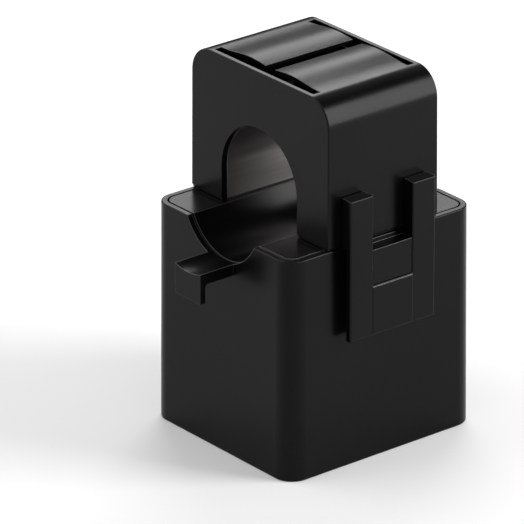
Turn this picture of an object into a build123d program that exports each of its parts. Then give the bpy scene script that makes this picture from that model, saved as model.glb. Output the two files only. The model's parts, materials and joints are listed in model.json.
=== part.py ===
from build123d import *
import math
import os

os.makedirs("parts", exist_ok=True)

# A split-core current transformer that stands on its base.
# +Z is up, the conductor passes along Y, the latch is on +X and the hinge on -X.
# The lower housing holds the wound core half. The cap holds the other half,
# turns about the hinge and is held shut by a rocking latch.

# The outer walls of the mouldings lean in towards the top, in degrees
housing_draft = 0.5
cap_draft = 0.3

# Lower housing: a deep cup with a flush cover, its width and depth taken at the top
housing_width = 45.0
housing_depth = 50.0
housing_corner = 4.1
housing_wall = 1.3
housing_floor = 2.0
rim_edge = 0.3
foot_edge = 0.4
cover_groove = 0.4
cover_plate = 1.5
cover_post = 3.4

# Window for the conductor: a trough in the cover and an arch in the cap
window_radius = 12.4
trough_depth = 6.7
trough_wall = 1.5
arch_rise = 7.85

# Room inside the housing, from the floor up
terminal_bay = 14.4
room_over_coil = 5.7

# Cap
cap_depth = 29.5
cap_height = 32.7
cap_wall = 1.4
cap_roof = 1.2
cap_top_radius = 6.0
cap_edge = 0.25
seam_gap = 0.15
seam_band_height = 0.6
seam_band_inset = 0.25

# Spring tongues in the roof of the cap
roof_margin = 6.2
roof_rim = 1.1
roof_recess = 3.2
tongue_slot = 1.85
tongue_gap = 3.2
tongue_rise = 0.75
tongue_crest_inset = 5.6
tongue_tip_lift = 0.35
tongue_tip_fall = 8.0
tongue_thickness = 0.9
tongue_root = 0.5
tongue_rib = 1.3
tongue_rib_inset = 1.6
tongue_rib_half_length = 8.0

# Cut core of wound steel strip
core_side_room = 2.7
core_fit = 0.2
core_stand = 0.3
core_face_gap = 0.04
core_corner = 0.7
core_guide_width = 3.0
core_guide_spacing = 15.0
core_guide_height = 14.0
core_guide_lift = 1.2
pad_thickness = 1.2
pad_half_width = 6.0
pad_margin = 2.7
cradle_width = 4.5
cradle_rise = 2.0
cradle_gap = 0.1

# Coil on the yoke of the lower core half
bobbin_wall = 1.2
bobbin_end_gap = 0.3
coil_build = 4.6
coil_edge = 1.5
tape_thickness = 0.3
flange_margin = 0.4

# Bars for a cable tie under both ends of the trough
tie_bar_width = 8.4
tie_bar_reach = 8.7
tie_bar_thickness = 1.8
tie_lip_thickness = 1.3
tie_lip_drop = 4.2
tie_lip_fillet = 0.8

# Hinge behind the cap
hinge_radius = 1.8
hinge_wall_gap = 0.3
hinge_axis_rise = 0.3
hinge_half_length = 10.4
hinge_middle_half = 3.8
hinge_side_gap = 0.2
hinge_gusset_drop = 6.0
hinge_web_rise = 4.4
hinge_open_angle = 110.0
hinge_heel_radius = 2.6
hinge_heel_gap = 0.1
hinge_pin_radius = 0.8
pin_running_gap = 0.05
pin_seat_gap = 0.01
pin_end_inset = 0.3

# Rocking latch: a fork that turns on a boss of the housing and hooks over two lugs of the cap
latch_half_width = 11.4
latch_fork_half = 5.3
latch_standoff = 1.9
latch_thickness = 1.3
latch_edge = 0.3
latch_pad_lift = 0.12
latch_rise = 11.25
latch_drop = 20.2
latch_fork_drop = 9.0
latch_rib_inset = 0.15
latch_rib_lift = 0.3
hook_height = 2.1
hook_gap = 0.3
pocket_side = 1.1
lug_gap = 0.3
lug_top_gap = 0.2
lug_foot = 1.5
lug_ramp = 1.0
boss_drop = 1.1
boss_side_gap = 0.1
boss_foot_gap = 0.15
boss_face_inset = 0.2
latch_pin_radius = 0.7
latch_pin_setback = 0.15
latch_knuckle_radius = 1.4
latch_knuckle_length = 3.5

# Screw terminals in the back wall
terminal_width = 16.0
terminal_height = 10.8
terminal_length = 10.0
terminal_pitch = 7.6
terminal_lift = 2.6
terminal_fit = 0.1
terminal_inset = 0.3
mouth_size = 3.4
mouth_height = 3.2
screw_height = 7.9
screw_well_radius = 2.2
screw_well_length = 3.6
screw_head_radius = 1.9
screw_head_height = 1.3
screw_shank_radius = 1.2
screw_slot_width = 0.6
screw_slot_depth = 0.6
clamp_width = 5.2
clamp_height = 9.9
clamp_length = 4.4
clamp_fit = 0.1
wire_hole_radius = 1.4
tail_radius = 0.45
tail_length = 2.6
lead_radius = 0.4
lead_bend = 1.6
lead_start_inset = 2.5
quarter_turn = 90.0

# Places worked out from the sizes above
half_width = housing_width / 2
half_depth = housing_depth / 2
cavity_x = half_width - housing_wall
cavity_y = half_depth - housing_wall
cavity_corner = housing_corner - housing_wall
cover_x = cavity_x - cover_groove
cover_y = cavity_y - cover_groove
cover_corner = cavity_corner - cover_groove

cap_front = cap_depth / 2
cap_inner_x = half_width - cap_wall
cap_inner_y = cap_front - cap_wall
core_half_depth = cap_inner_y - core_fit
core_outer_radius = cap_inner_x - core_side_room
core_build = core_outer_radius - window_radius

bobbin_half_bore_z = core_build / 2 + core_fit
bobbin_half_bore_y = core_half_depth + core_fit
coil_inner_z = bobbin_half_bore_z + bobbin_wall
coil_inner_y = bobbin_half_bore_y + bobbin_wall
coil_outer_z = coil_inner_z + coil_build
coil_outer_y = coil_inner_y + coil_build
flange_half_z = coil_outer_z + tape_thickness + flange_margin
flange_half_y = coil_outer_y + tape_thickness + flange_margin
yoke_height = housing_floor + terminal_bay + flange_half_z

rim = yoke_height + flange_half_z + room_over_coil + trough_wall + trough_depth
trough_axis = rim - trough_depth + window_radius
arch_axis = rim + arch_rise
core_plane = rim + core_stand
cap_bottom = rim + seam_gap
cap_top = rim + cap_height
band_top = cap_bottom + seam_band_height
foot_spread = rim * math.tan(math.radians(housing_draft))
cap_lean = (cap_top - band_top) * math.tan(math.radians(cap_draft))

trough_bottom = rim - trough_depth
bar_end = half_depth + tie_bar_reach
bar_foot = trough_bottom - tie_bar_thickness

hinge_x = -(half_width + hinge_wall_gap + hinge_radius)
hinge_z = rim + hinge_axis_rise
hinge_side_start = hinge_middle_half + hinge_side_gap
hinge_side_length = hinge_half_length - hinge_side_start
hinge_bore = hinge_pin_radius + pin_seat_gap

latch_back = half_width + latch_standoff
latch_top = rim + latch_rise
latch_foot = rim - latch_drop
fork_floor = rim - latch_fork_drop
boss_top = rim - boss_drop
boss_foot = fork_floor + boss_foot_gap
latch_pin_x = latch_back - latch_pin_setback
latch_pin_z = (boss_top + boss_foot) / 2
pocket_start = latch_fork_half + pocket_side
pocket_end = latch_half_width - pocket_side
pocket_top = latch_top - hook_height
lug_top = pocket_top - lug_top_gap
lug_base = rim + lug_foot
knuckle_end = latch_fork_half + latch_knuckle_length

yoke_bottom = yoke_height - core_build / 2
yoke_top = yoke_height + core_build / 2
core_outer_corner = core_corner + core_build
leg_centre = window_radius + core_build / 2
bobbin_half_length = window_radius - bobbin_end_gap

terminal_face = half_depth - terminal_inset
terminal_back = terminal_face - terminal_length
terminal_base = housing_floor + terminal_lift
terminal_middle = terminal_base + terminal_height / 2
clamp_face = terminal_face - screw_well_length - clamp_fit
clamp_back = clamp_face - clamp_length
chamber_length = clamp_length + 2 * clamp_fit
tail_end = terminal_back - tail_length


# Lower housing with its tie bars, hinge knuckles, latch boss and inner seats
with BuildPart() as housing:
    with BuildSketch():
        RectangleRounded(
            housing_width + 2 * foot_spread,
            housing_depth + 2 * foot_spread,
            housing_corner + foot_spread,
        )
    extrude(amount=rim, taper=housing_draft)
    fillet(housing.edges().group_by(Axis.Z)[-1], rim_edge)
    fillet(housing.edges().group_by(Axis.Z)[0], foot_edge)
    with BuildSketch(Plane.XY.offset(housing_floor)):
        RectangleRounded(2 * cavity_x, 2 * cavity_y, cavity_corner)
    extrude(amount=rim - housing_floor, mode=Mode.SUBTRACT)

    # Posts in the corners carry the cover
    with BuildSketch(Plane.XY.offset(housing_floor)):
        with GridLocations(2 * cavity_x - cover_post, 2 * cavity_y - cover_post, 2, 2):
            Rectangle(cover_post, cover_post)
    extrude(amount=rim - cover_plate - housing_floor)

    # Cradles under the rounded corners of the core
    with BuildSketch(Plane.XY.offset(housing_floor)):
        with GridLocations(2 * leg_centre, 0, 2, 1):
            Rectangle(cradle_width, 2 * core_half_depth)
    extrude(amount=yoke_height + cradle_rise - housing_floor)
    with BuildSketch(Plane.XZ) as core_bed:
        with Locations((0, yoke_bottom - cradle_gap)):
            Rectangle(
                2 * (core_outer_radius + cradle_gap),
                2 * core_outer_corner,
                align=(Align.CENTER, Align.MIN),
            )
        fillet(core_bed.vertices().group_by(Axis.Y)[0], core_outer_corner)
    extrude(amount=core_half_depth, both=True, mode=Mode.SUBTRACT)

    # Shelf for the terminal block, and its opening in the back wall
    with BuildSketch(Plane.XY.offset(housing_floor)):
        with Locations((0, (terminal_back + cavity_y) / 2)):
            Rectangle(terminal_width, cavity_y - terminal_back)
    extrude(amount=terminal_lift)
    with BuildSketch(Plane.XZ.offset(-half_depth - foot_spread)):
        with Locations((0, terminal_middle)):
            Rectangle(terminal_width + 2 * terminal_fit, terminal_height + 2 * terminal_fit)
    extrude(amount=housing_wall + foot_spread, mode=Mode.SUBTRACT)

    # A tie bar and its lip are one L profile, the same at both ends of the trough
    with BuildSketch(Plane.YZ) as tie_bar:
        with BuildLine():
            Polyline(
                (cavity_y, trough_bottom + tie_bar_thickness),
                (bar_end, trough_bottom + tie_bar_thickness),
                (bar_end, bar_foot - tie_lip_drop),
                (bar_end - tie_lip_thickness, bar_foot - tie_lip_drop),
                (bar_end - tie_lip_thickness, bar_foot),
                (cavity_y, bar_foot),
                close=True,
            )
        make_face()
        inner_corner = Vector(bar_end - tie_lip_thickness, bar_foot)
        fillet(tie_bar.vertices().sort_by_distance(inner_corner)[0], tie_lip_fillet)
        mirror(about=Plane.YZ)
    extrude(amount=tie_bar_width / 2, both=True)

    # The round trough runs through both end walls and the tie bars
    with BuildSketch(Plane.XZ):
        with Locations((0, trough_axis)):
            Circle(window_radius)
    extrude(amount=bar_end, both=True, mode=Mode.SUBTRACT)

    # Outer hinge knuckles, each on a gusset that runs down the wall
    with BuildSketch(Plane.XZ.offset(-hinge_half_length), Plane.XZ.offset(hinge_side_start)):
        with Locations((hinge_x, hinge_z)):
            Circle(hinge_radius)
        with BuildLine():
            Polyline(
                (hinge_x - hinge_radius, hinge_z),
                (hinge_x, hinge_z),
                (hinge_x, rim),
                (-cavity_x, rim),
                (-cavity_x, hinge_z - hinge_gusset_drop),
                (-half_width, hinge_z - hinge_gusset_drop),
                close=True,
            )
        make_face()
        with Locations((hinge_x, hinge_z)):
            Circle(hinge_bore, mode=Mode.SUBTRACT)
    extrude(amount=hinge_side_length)

    # Boss that the latch turns on
    with BuildSketch(Plane.XZ):
        with Locations((cavity_x, boss_foot)):
            Rectangle(
                latch_back + latch_thickness - boss_face_inset - cavity_x,
                boss_top - boss_foot,
                align=(Align.MIN, Align.MIN),
            )
        with Locations((latch_pin_x, latch_pin_z)):
            Circle(latch_pin_radius + pin_seat_gap, mode=Mode.SUBTRACT)
    extrude(amount=latch_fork_half - boss_side_gap, both=True)

housing.part.label = "housing"
export_step(housing.part, "parts/housing.step")


# Cover with the conductor trough and a window for each leg of the core
with BuildPart() as core_cover:
    with BuildSketch(Plane.XY.offset(rim - cover_plate)):
        RectangleRounded(2 * cover_x, 2 * cover_y, cover_corner)
    extrude(amount=cover_plate)
    with BuildSketch(Plane.XZ):
        with Locations((0, trough_axis)):
            Circle(window_radius + trough_wall)
        with Locations((0, rim)):
            Rectangle(
                2 * housing_width,
                2 * window_radius,
                align=(Align.CENTER, Align.MIN),
                mode=Mode.SUBTRACT,
            )
    extrude(amount=cover_y, both=True)
    with BuildSketch(Plane.XZ):
        with Locations((0, trough_axis)):
            Circle(window_radius)
    extrude(amount=cover_y, both=True, mode=Mode.SUBTRACT)
    with BuildSketch(Plane.XY.offset(trough_bottom)):
        with GridLocations(2 * leg_centre, 0, 2, 1):
            Rectangle(core_build + 2 * core_fit, 2 * (core_half_depth + core_fit))
    extrude(amount=trough_depth, mode=Mode.SUBTRACT)

core_cover.part.label = "core_cover"
export_step(core_cover.part, "parts/core_cover.step")


# Lower half of the cut core: a U with two legs that face the cap
with BuildPart() as lower_core:
    with BuildSketch(Plane.XZ) as lower_strip:
        with BuildLine():
            Polyline(
                (-core_outer_radius, core_plane - core_face_gap / 2),
                (-core_outer_radius, yoke_bottom),
                (core_outer_radius, yoke_bottom),
                (core_outer_radius, core_plane - core_face_gap / 2),
                (window_radius, core_plane - core_face_gap / 2),
                (window_radius, yoke_top),
                (-window_radius, yoke_top),
                (-window_radius, core_plane - core_face_gap / 2),
                close=True,
            )
        make_face()
        fillet(lower_strip.vertices().group_by(Axis.Y)[0], core_outer_corner)
        inner_corners = lower_strip.vertices().filter_by(
            lambda v: abs(v.Y - yoke_top) < core_fit and abs(v.X) < core_outer_radius - core_fit
        )
        fillet(inner_corners, core_corner)
    extrude(amount=core_half_depth, both=True)

lower_core.part.label = "lower_core"
export_step(lower_core.part, "parts/lower_core.step")


# Upper half of the cut core: an arch over the conductor
with BuildPart() as upper_core:
    with BuildSketch(Plane.XZ):
        with Locations((0, arch_axis)):
            Circle(core_outer_radius)
            Rectangle(
                2 * core_outer_radius,
                arch_axis - core_plane - core_face_gap / 2,
                align=(Align.CENTER, Align.MAX),
            )
            Circle(window_radius, mode=Mode.SUBTRACT)
            Rectangle(
                2 * window_radius,
                arch_axis - core_plane,
                align=(Align.CENTER, Align.MAX),
                mode=Mode.SUBTRACT,
            )
        with Locations((0, core_plane + core_face_gap / 2)):
            Rectangle(
                2 * housing_width,
                2 * housing_width,
                align=(Align.CENTER, Align.MAX),
                mode=Mode.SUBTRACT,
            )
    extrude(amount=core_half_depth, both=True)

upper_core.part.label = "upper_core"
export_step(upper_core.part, "parts/upper_core.step")


# Coil former on the yoke, with a flange at each end
with BuildPart() as bobbin:
    with BuildSketch(Plane.YZ):
        with Locations((0, yoke_height)):
            RectangleRounded(2 * coil_inner_y, 2 * coil_inner_z, coil_edge)
    extrude(amount=bobbin_half_length, both=True)
    with BuildSketch(
        Plane.YZ.offset(-bobbin_half_length), Plane.YZ.offset(bobbin_half_length - bobbin_wall)
    ):
        with Locations((0, yoke_height)):
            RectangleRounded(2 * flange_half_y, 2 * flange_half_z, coil_edge)
    extrude(amount=bobbin_wall)
    with BuildSketch(Plane.YZ):
        with Locations((0, yoke_height)):
            Rectangle(2 * bobbin_half_bore_y, 2 * bobbin_half_bore_z)
    extrude(amount=bobbin_half_length, both=True, mode=Mode.SUBTRACT)

bobbin.part.label = "bobbin"
export_step(bobbin.part, "parts/bobbin.step")


# Copper winding between the flanges
coil_half_length = bobbin_half_length - bobbin_wall
with BuildPart() as winding:
    with BuildSketch(Plane.YZ):
        with Locations((0, yoke_height)):
            RectangleRounded(2 * coil_outer_y, 2 * coil_outer_z, coil_edge + coil_build)
            RectangleRounded(2 * coil_inner_y, 2 * coil_inner_z, coil_edge, mode=Mode.SUBTRACT)
    extrude(amount=coil_half_length, both=True)

winding.part.label = "winding"
export_step(winding.part, "parts/winding.step")


# Tape around the winding
with BuildPart() as winding_tape:
    with BuildSketch(Plane.YZ):
        with Locations((0, yoke_height)):
            RectangleRounded(
                2 * (coil_outer_y + tape_thickness),
                2 * (coil_outer_z + tape_thickness),
                coil_edge + coil_build + tape_thickness,
            )
            RectangleRounded(
                2 * coil_outer_y, 2 * coil_outer_z, coil_edge + coil_build, mode=Mode.SUBTRACT
            )
    extrude(amount=coil_half_length, both=True)

winding_tape.part.label = "winding_tape"
export_step(winding_tape.part, "parts/winding_tape.step")


# Two leads run from the underside of the coil to the tails of the clamps
lead_top = yoke_height - coil_outer_z - tape_thickness
lead_start = tail_end - lead_start_inset
bend_y = lead_start + lead_bend
bend_z = terminal_middle + lead_bend
with BuildPart() as winding_leads:
    with BuildSketch(Plane.XY.offset(bend_z)):
        with Locations((0, lead_start)):
            with GridLocations(terminal_pitch, 0, 2, 1):
                Circle(lead_radius)
    extrude(amount=lead_top - bend_z)
    with BuildSketch(Plane.XY.offset(bend_z)):
        with Locations((0, lead_start)):
            with GridLocations(terminal_pitch, 0, 2, 1):
                Circle(lead_radius)
    revolve(axis=Axis((0, bend_y, bend_z), (1, 0, 0)), revolution_arc=quarter_turn)
    with BuildSketch(Plane.XZ.offset(-bend_y)):
        with GridLocations(terminal_pitch, 0, 2, 1):
            with Locations((0, terminal_middle)):
                Circle(lead_radius)
    extrude(amount=-(tail_end - bend_y))

winding_leads.part.label = "winding_leads"
export_step(winding_leads.part, "parts/winding_leads.step")


# Terminal block: two wells over two wire mouths, open below for the clamps
with BuildPart() as terminal_block:
    with BuildSketch(Plane.XZ.offset(-terminal_face)):
        with Locations((0, terminal_middle)):
            Rectangle(terminal_width, terminal_height)
    extrude(amount=terminal_length)
    with BuildSketch(Plane.XZ.offset(-terminal_face)):
        with GridLocations(terminal_pitch, 0, 2, 1):
            with Locations((0, terminal_base + mouth_height)):
                Rectangle(mouth_size, mouth_size)
            with Locations((0, terminal_base + screw_height)):
                Circle(screw_well_radius)
    extrude(amount=screw_well_length, mode=Mode.SUBTRACT)
    with BuildSketch(Plane.XZ.offset(-terminal_face + screw_well_length)):
        with GridLocations(terminal_pitch, 0, 2, 1):
            with Locations((0, terminal_base)):
                Rectangle(
                    clamp_width + 2 * clamp_fit,
                    clamp_height + clamp_fit,
                    align=(Align.CENTER, Align.MIN),
                )
    extrude(amount=chamber_length, mode=Mode.SUBTRACT)
    with BuildSketch(Plane.XZ.offset(-terminal_face)):
        with GridLocations(terminal_pitch, 0, 2, 1):
            with Locations((0, terminal_middle)):
                Circle(tail_radius + clamp_fit)
    extrude(amount=terminal_length, mode=Mode.SUBTRACT)

terminal_block.part.label = "terminal_block"
export_step(terminal_block.part, "parts/terminal_block.step")


# Clamps that hold the wires, each with a tail for a lead of the coil
with BuildPart() as terminal_clamps:
    with BuildSketch(Plane.XZ.offset(-clamp_face)):
        with GridLocations(terminal_pitch, 0, 2, 1):
            with Locations((0, terminal_base)):
                Rectangle(clamp_width, clamp_height, align=(Align.CENTER, Align.MIN))
            with Locations((0, terminal_base + mouth_height)):
                Circle(wire_hole_radius, mode=Mode.SUBTRACT)
            with Locations((0, terminal_base + screw_height)):
                Circle(screw_shank_radius + pin_seat_gap, mode=Mode.SUBTRACT)
    extrude(amount=clamp_length)
    with BuildSketch(Plane.XZ.offset(-clamp_back)):
        with GridLocations(terminal_pitch, 0, 2, 1):
            with Locations((0, terminal_middle)):
                Circle(tail_radius)
    extrude(amount=clamp_back - tail_end)

terminal_clamps.part.label = "terminal_clamps"
export_step(terminal_clamps.part, "parts/terminal_clamps.step")


# Slotted terminal screws
with BuildPart() as terminal_screws:
    with BuildSketch(Plane.XZ.offset(-clamp_face - screw_head_height)):
        with GridLocations(terminal_pitch, 0, 2, 1):
            with Locations((0, terminal_base + screw_height)):
                Circle(screw_head_radius)
    extrude(amount=screw_head_height)
    with BuildSketch(Plane.XZ.offset(-clamp_face)):
        with GridLocations(terminal_pitch, 0, 2, 1):
            with Locations((0, terminal_base + screw_height)):
                Circle(screw_shank_radius)
    extrude(amount=clamp_length)
    with BuildSketch(Plane.XZ.offset(-clamp_face - screw_head_height)):
        with GridLocations(terminal_pitch, 0, 2, 1):
            with Locations((0, terminal_base + screw_height)):
                Rectangle(2 * screw_head_radius, screw_slot_width)
    extrude(amount=screw_slot_depth, mode=Mode.SUBTRACT)

terminal_screws.part.label = "terminal_screws"
export_step(terminal_screws.part, "parts/terminal_screws.step")


# Cap: an arch-windowed hood with spring tongues in its roof
roof_half_x = half_width - cap_lean - roof_margin
roof_half_y = cap_front - cap_lean - roof_rim
tongue_tip = tongue_gap / 2
tongue_crest = tongue_tip + tongue_crest_inset
tongue_leaves = (-1, 0)
tongue_ends = (-1, -math.tan(math.radians(tongue_tip_fall)))
pad_top_radius = core_outer_radius + pad_thickness
guide_inner_x = core_outer_radius + core_fit
lug_face = latch_back - lug_gap
hinge_reach = hinge_radius + hinge_wall_gap
heel_angle = -hinge_open_angle - math.degrees(
    math.acos((hinge_reach - hinge_heel_gap) / hinge_heel_radius)
)
heel_spread = math.degrees(math.acos(hinge_radius / hinge_heel_radius))
hinge_centre = Vector(hinge_x, hinge_z)

with BuildPart() as cap:
    with BuildSketch(Plane.XY.offset(band_top)):
        Rectangle(2 * half_width, 2 * cap_front)
    extrude(amount=cap_top - band_top, taper=cap_draft)
    fillet(cap.edges().group_by(Axis.Z)[-1].filter_by(Axis.Y), cap_top_radius)
    end_faces = cap.faces().sort_by(Axis.Y)
    outline = (end_faces[0].edges() + end_faces[-1].edges()).filter_by(
        lambda edge: edge.center().Z > band_top + cap_edge
    )
    fillet(outline, cap_edge)

    # A band set back along the seam
    with BuildSketch(Plane.XY.offset(cap_bottom)):
        Rectangle(2 * (half_width - seam_band_inset), 2 * (cap_front - seam_band_inset))
    extrude(amount=seam_band_height)

    with BuildSketch(Plane.XZ) as hollow:
        with Locations((0, cap_bottom)):
            Rectangle(
                2 * cap_inner_x, cap_top - cap_roof - cap_bottom, align=(Align.CENTER, Align.MIN)
            )
        fillet(hollow.vertices().group_by(Axis.Y)[-1], cap_top_radius - cap_wall)
    extrude(amount=cap_inner_y, both=True, mode=Mode.SUBTRACT)

    # Arch window through the front and back walls
    with BuildSketch(Plane.XZ):
        with Locations((0, arch_axis)):
            Circle(window_radius)
            Rectangle(
                2 * window_radius, arch_axis - cap_bottom, align=(Align.CENTER, Align.MAX)
            )
    extrude(amount=cap_front, both=True, mode=Mode.SUBTRACT)

    # Opening in the roof, which leaves a thin rim at the front and back
    with BuildSketch(Plane.XY.offset(cap_top - roof_recess)):
        Rectangle(2 * roof_half_x, 2 * roof_half_y)
    extrude(amount=roof_recess, mode=Mode.SUBTRACT)

    # Two bowed tongues leave the roof level, rise to a crest and fall to their tips
    with BuildSketch(Plane.XZ):
        with BuildLine():
            Polyline(
                (roof_half_x, cap_top),
                (roof_half_x + tongue_root, cap_top - tongue_thickness),
                (roof_half_x, cap_top - tongue_thickness),
            )
            Spline(
                (roof_half_x, cap_top - tongue_thickness),
                (tongue_crest, cap_top - tongue_thickness + tongue_rise),
                (tongue_tip, cap_top - tongue_thickness + tongue_tip_lift),
                tangents=(tongue_leaves, tongue_ends),
            )
            Line(
                (tongue_tip, cap_top - tongue_thickness + tongue_tip_lift),
                (tongue_tip, cap_top + tongue_tip_lift),
            )
            Spline(
                (roof_half_x, cap_top),
                (tongue_crest, cap_top + tongue_rise),
                (tongue_tip, cap_top + tongue_tip_lift),
                tangents=(tongue_leaves, tongue_ends),
            )
        make_face()
        mirror(about=Plane.YZ)
    extrude(amount=roof_half_y - tongue_slot, both=True)

    # A rib under each tongue presses the pad on the core
    with BuildSketch(Plane.XZ):
        with Locations((tongue_tip + tongue_rib_inset, arch_axis)):
            Rectangle(tongue_rib, cap_top - arch_axis, align=(Align.MIN, Align.MIN))
        with Locations((0, arch_axis)):
            Circle(pad_top_radius, mode=Mode.SUBTRACT)
        mirror(about=Plane.YZ)
    extrude(amount=tongue_rib_half_length, both=True)

    # Guides beside the legs of the core
    with BuildSketch(Plane.XY.offset(cap_bottom + core_guide_lift)):
        with GridLocations(cap_inner_x + guide_inner_x, core_guide_spacing, 2, 2):
            Rectangle(cap_inner_x - guide_inner_x, core_guide_width)
    extrude(amount=core_guide_height)

    # Lugs for the hooks of the latch
    with BuildSketch(
        Plane.XZ.offset(pocket_start + lug_gap), Plane.XZ.offset(-(pocket_end - lug_gap))
    ):
        with BuildLine():
            Polyline(
                (cap_inner_x, lug_base),
                (half_width, lug_base),
                (lug_face, lug_base + lug_ramp),
                (lug_face, lug_top),
                (cap_inner_x, lug_top),
                close=True,
            )
        make_face()
    extrude(amount=pocket_end - pocket_start - 2 * lug_gap)

    # Middle hinge knuckle, with a heel that meets the housing when the cap is fully open
    with BuildSketch(Plane.XZ):
        with Locations((hinge_x, hinge_z)):
            Circle(hinge_radius)
        with BuildLine():
            Polyline(
                hinge_centre,
                hinge_centre + Vector(hinge_radius, 0).rotate(Axis.Z, heel_angle - heel_spread),
                hinge_centre + Vector(hinge_heel_radius, 0).rotate(Axis.Z, heel_angle),
                hinge_centre + Vector(hinge_radius, 0).rotate(Axis.Z, heel_angle + heel_spread),
                close=True,
            )
        make_face()
        with BuildLine():
            Polyline(
                (hinge_x - hinge_radius, hinge_z),
                (-cap_inner_x, hinge_z),
                (-cap_inner_x, hinge_z + hinge_web_rise),
                (-half_width, hinge_z + hinge_web_rise),
                close=True,
            )
        make_face()
        with Locations((hinge_x, hinge_z)):
            Circle(hinge_pin_radius + pin_running_gap, mode=Mode.SUBTRACT)
    extrude(amount=hinge_middle_half, both=True)

cap.part.label = "cap"
export_step(cap.part, "parts/cap.step")


# Pad between the tongues and the upper core
with BuildPart() as core_pad:
    with BuildSketch(Plane.XZ):
        with Locations((0, arch_axis)):
            Circle(pad_top_radius)
            Circle(core_outer_radius, mode=Mode.SUBTRACT)
            Rectangle(
                2 * pad_half_width,
                2 * core_outer_radius,
                align=(Align.CENTER, Align.MIN),
                mode=Mode.INTERSECT,
            )
    extrude(amount=core_half_depth - pad_margin, both=True)

core_pad.part.label = "core_pad"
export_step(core_pad.part, "parts/core_pad.step")


# Hinge pin
with BuildPart() as hinge_pin:
    with BuildSketch(Plane.XZ):
        with Locations((hinge_x, hinge_z)):
            Circle(hinge_pin_radius)
    extrude(amount=hinge_half_length - pin_end_inset, both=True)

hinge_pin.part.label = "hinge_pin"
export_step(hinge_pin.part, "parts/hinge_pin.step")


# Latch: a press plate below, two arms with pockets and hooks above
arm_width = latch_half_width - latch_fork_half
arm_spacing = latch_half_width + latch_fork_half
rib_start = half_width + hook_gap
with BuildPart() as latch:
    with BuildSketch(Plane.YZ.offset(latch_back)):
        with Locations((0, latch_foot)):
            Rectangle(
                2 * latch_half_width, latch_top - latch_foot, align=(Align.CENTER, Align.MIN)
            )
        with Locations((0, fork_floor)):
            Rectangle(
                2 * latch_fork_half,
                latch_top - fork_floor,
                align=(Align.CENTER, Align.MIN),
                mode=Mode.SUBTRACT,
            )
    extrude(amount=latch_thickness)
    fillet(latch.faces().sort_by(Axis.X)[-1].edges(), latch_edge)

    # A finger pad stands a little proud between the arms
    with BuildSketch(Plane.YZ.offset(latch_back)):
        with Locations((0, latch_foot + latch_edge)):
            Rectangle(
                2 * latch_fork_half,
                fork_floor - latch_foot - 2 * latch_edge,
                align=(Align.CENTER, Align.MIN),
            )
    extrude(amount=latch_thickness + latch_pad_lift)

    # The arms are thick above the seam, where they lie beside the cap
    with BuildSketch(Plane.XY.offset(rim + latch_rib_lift)):
        with Locations(((rib_start + latch_back) / 2, 0)):
            with GridLocations(0, arm_spacing, 1, 2):
                Rectangle(latch_back - rib_start, arm_width - 2 * latch_rib_inset)
    extrude(amount=latch_top - rim - latch_rib_lift)
    with BuildSketch(Plane.XY.offset(rim + latch_rib_lift)):
        with Locations(((rib_start + latch_back) / 2, 0)):
            with GridLocations(0, arm_spacing, 1, 2):
                Rectangle(latch_back - rib_start, pocket_end - pocket_start)
    extrude(amount=pocket_top - rim - latch_rib_lift, mode=Mode.SUBTRACT)

    # Knuckles behind the arms, beside the boss
    with BuildSketch(Plane.XZ.offset(-knuckle_end), Plane.XZ.offset(latch_fork_half)):
        with Locations((latch_pin_x, latch_pin_z)):
            Circle(latch_knuckle_radius)
    extrude(amount=latch_knuckle_length)
    with BuildSketch(Plane.XZ):
        with Locations((latch_pin_x, latch_pin_z)):
            Circle(latch_pin_radius + pin_running_gap)
    extrude(amount=knuckle_end, both=True, mode=Mode.SUBTRACT)

latch.part.label = "latch"
export_step(latch.part, "parts/latch.step")


# Latch pin through the boss and both knuckles
with BuildPart() as latch_pin:
    with BuildSketch(Plane.XZ):
        with Locations((latch_pin_x, latch_pin_z)):
            Circle(latch_pin_radius)
    extrude(amount=knuckle_end - pin_end_inset, both=True)

latch_pin.part.label = "latch_pin"
export_step(latch_pin.part, "parts/latch_pin.step")
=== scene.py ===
# %% [markdown]
# # A split-core current transformer
# The real object is a black moulded housing with a hinged cap. A cable lies in the round window
# between them, and two halves of a steel core close round it. The shape of every rigid piece comes
# from the engineering model, so this lesson adds what that model lacks: the finish of each
# material, the wound coil, the studio and the camera.

# %% Load the frame
import json
import math

import bpy
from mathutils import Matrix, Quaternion, Vector

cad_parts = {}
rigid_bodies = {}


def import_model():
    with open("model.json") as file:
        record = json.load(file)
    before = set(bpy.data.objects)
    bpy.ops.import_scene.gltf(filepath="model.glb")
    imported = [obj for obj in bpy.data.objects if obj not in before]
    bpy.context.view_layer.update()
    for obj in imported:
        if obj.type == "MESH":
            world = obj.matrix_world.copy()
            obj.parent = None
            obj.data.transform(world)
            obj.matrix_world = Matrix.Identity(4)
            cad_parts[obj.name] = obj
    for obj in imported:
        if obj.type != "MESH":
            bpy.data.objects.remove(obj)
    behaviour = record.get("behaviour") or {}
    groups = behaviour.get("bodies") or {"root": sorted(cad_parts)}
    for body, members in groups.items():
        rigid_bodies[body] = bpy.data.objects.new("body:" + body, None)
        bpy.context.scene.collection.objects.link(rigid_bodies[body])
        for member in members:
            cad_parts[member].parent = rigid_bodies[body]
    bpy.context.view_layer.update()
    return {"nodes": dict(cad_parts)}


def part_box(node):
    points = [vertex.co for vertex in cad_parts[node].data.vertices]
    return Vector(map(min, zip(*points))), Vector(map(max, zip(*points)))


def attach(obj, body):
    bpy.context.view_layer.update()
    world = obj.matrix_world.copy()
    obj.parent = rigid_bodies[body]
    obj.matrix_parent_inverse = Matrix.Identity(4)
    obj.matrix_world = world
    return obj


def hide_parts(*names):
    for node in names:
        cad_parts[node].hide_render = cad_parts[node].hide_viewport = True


for leftover in list(bpy.data.objects):
    bpy.data.objects.remove(leftover)

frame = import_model()
MM = 0.001
print("nodes:", sorted(frame["nodes"]))

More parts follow.
